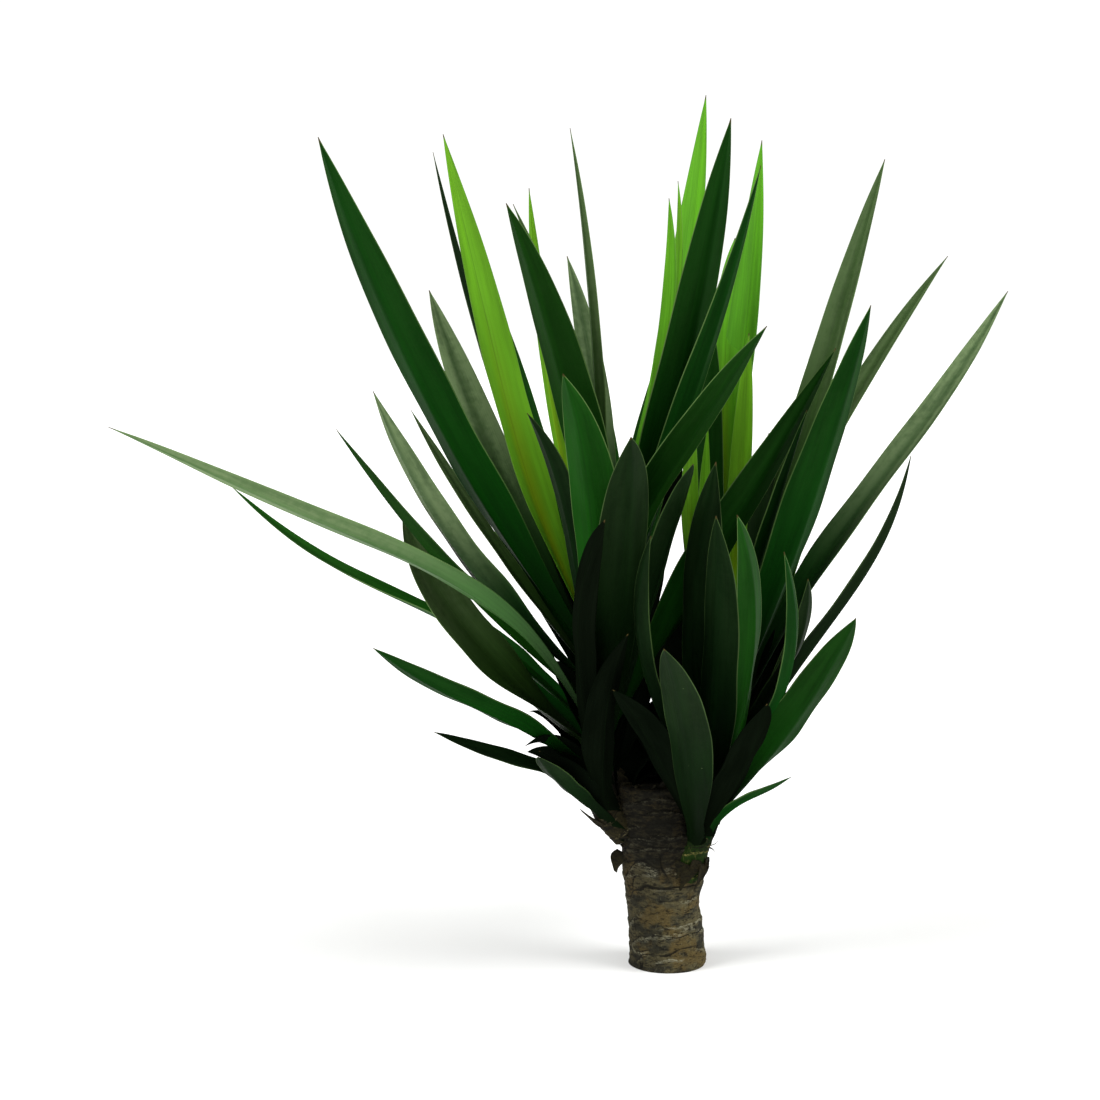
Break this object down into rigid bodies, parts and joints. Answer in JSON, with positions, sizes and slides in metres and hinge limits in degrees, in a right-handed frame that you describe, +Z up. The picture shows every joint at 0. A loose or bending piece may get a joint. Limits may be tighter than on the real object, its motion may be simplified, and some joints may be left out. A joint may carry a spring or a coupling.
{
  "type": "spineless yucca cane plant",
  "caption": "Rooted spineless yucca: a leaning sawn cane that carries leafy heads of long gutter-shaped blades on short side stems.",
  "frame": {"origin": "centre of the flat cut under the cane, at ground level", "axes": "+Z up along the foot of the cane, -Y towards the viewer of the picture, +X to that viewer's right"},
  "size_m": [0.8709, 0.7404, 0.8856],
  "materials": {
    "bark": "rough",
    "stem": "matte",
    "leaf": "satin",
    "young_leaf": "satin"
  },
  "bodies": {
    "root": {"trunk": "bark", "left_stem": "stem", "right_stem": "stem", "left_heart": "young_leaf", "right_heart": "young_leaf", "left_leaf_01": "leaf", "left_leaf_02": "leaf", "left_leaf_03": "leaf", "left_leaf_04": "leaf", "left_leaf_05": "leaf", "left_leaf_06": "leaf", "left_leaf_07": "leaf", "left_leaf_08": "leaf", "left_leaf_09": "leaf", "left_leaf_10": "leaf", "left_leaf_11": "leaf", "left_leaf_12": "leaf", "left_leaf_13": "leaf", "left_leaf_14": "leaf", "left_leaf_15": "leaf", "left_leaf_16": "leaf", "left_leaf_17": "leaf", "left_leaf_18": "leaf", "left_leaf_19": "leaf", "left_leaf_20": "leaf", "left_leaf_21": "leaf", "left_leaf_22": "leaf", "left_leaf_23": "leaf", "left_leaf_24": "leaf", "left_leaf_25": "leaf", "left_leaf_26": "leaf", "left_leaf_27": "leaf", "left_leaf_28": "leaf", "left_leaf_29": "leaf", "left_leaf_30": "leaf", "left_leaf_31": "young_leaf", "left_leaf_32": "young_leaf", "right_leaf_01": "leaf", "right_leaf_02": "leaf", "right_leaf_03": "leaf", "right_leaf_04": "leaf", "right_leaf_05": "leaf", "right_leaf_06": "leaf", "right_leaf_07": "leaf", "right_leaf_08": "leaf", "right_leaf_09": "leaf", "right_leaf_10": "leaf", "right_leaf_11": "leaf", "right_leaf_12": "leaf", "right_leaf_13": "leaf", "right_leaf_14": "leaf", "right_leaf_15": "leaf", "right_leaf_16": "leaf", "right_leaf_17": "leaf", "right_leaf_18": "leaf", "right_leaf_19": "leaf", "right_leaf_20": "leaf", "right_leaf_21": "leaf", "right_leaf_22": "leaf", "right_leaf_23": "young_leaf"}
  },
  "joints": []
}
